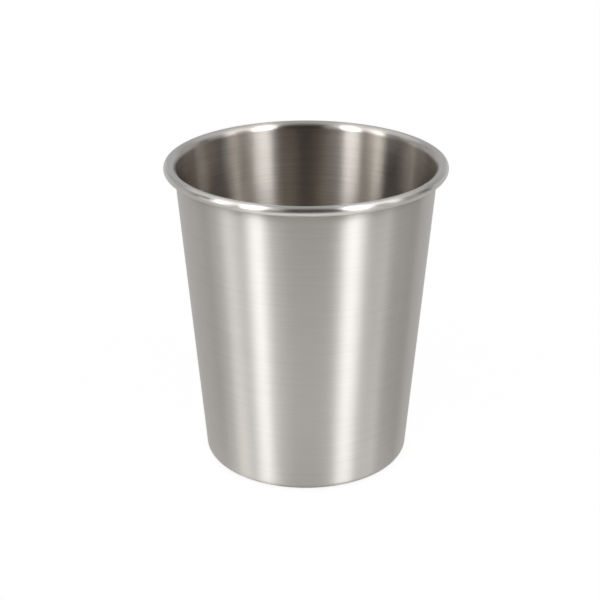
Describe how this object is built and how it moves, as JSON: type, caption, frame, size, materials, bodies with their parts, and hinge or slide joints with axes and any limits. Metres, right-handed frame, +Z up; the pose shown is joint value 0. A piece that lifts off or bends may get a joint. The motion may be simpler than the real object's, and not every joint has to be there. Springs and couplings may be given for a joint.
{
  "type": "deep drawn metal cup",
  "caption": "Tapered round cup of brushed stainless sheet, open at the top, with an outward rolled rim and a flat foot ring round its raised base; holds a drink or small goods.",
  "frame": {"origin": "centre of the foot ring, on the surface that the cup stands on", "axes": "+Z up along the cup's axis, out of its mouth; X and Y are alike, because the cup is round"},
  "size_m": [0.08, 0.08, 0.0893],
  "materials": {
    "brushed_stainless": "satin, brushed round the axis on the wall and base, smoother on the rolled rim"
  },
  "bodies": {
    "root": {"cup": "brushed_stainless"}
  },
  "joints": []
}
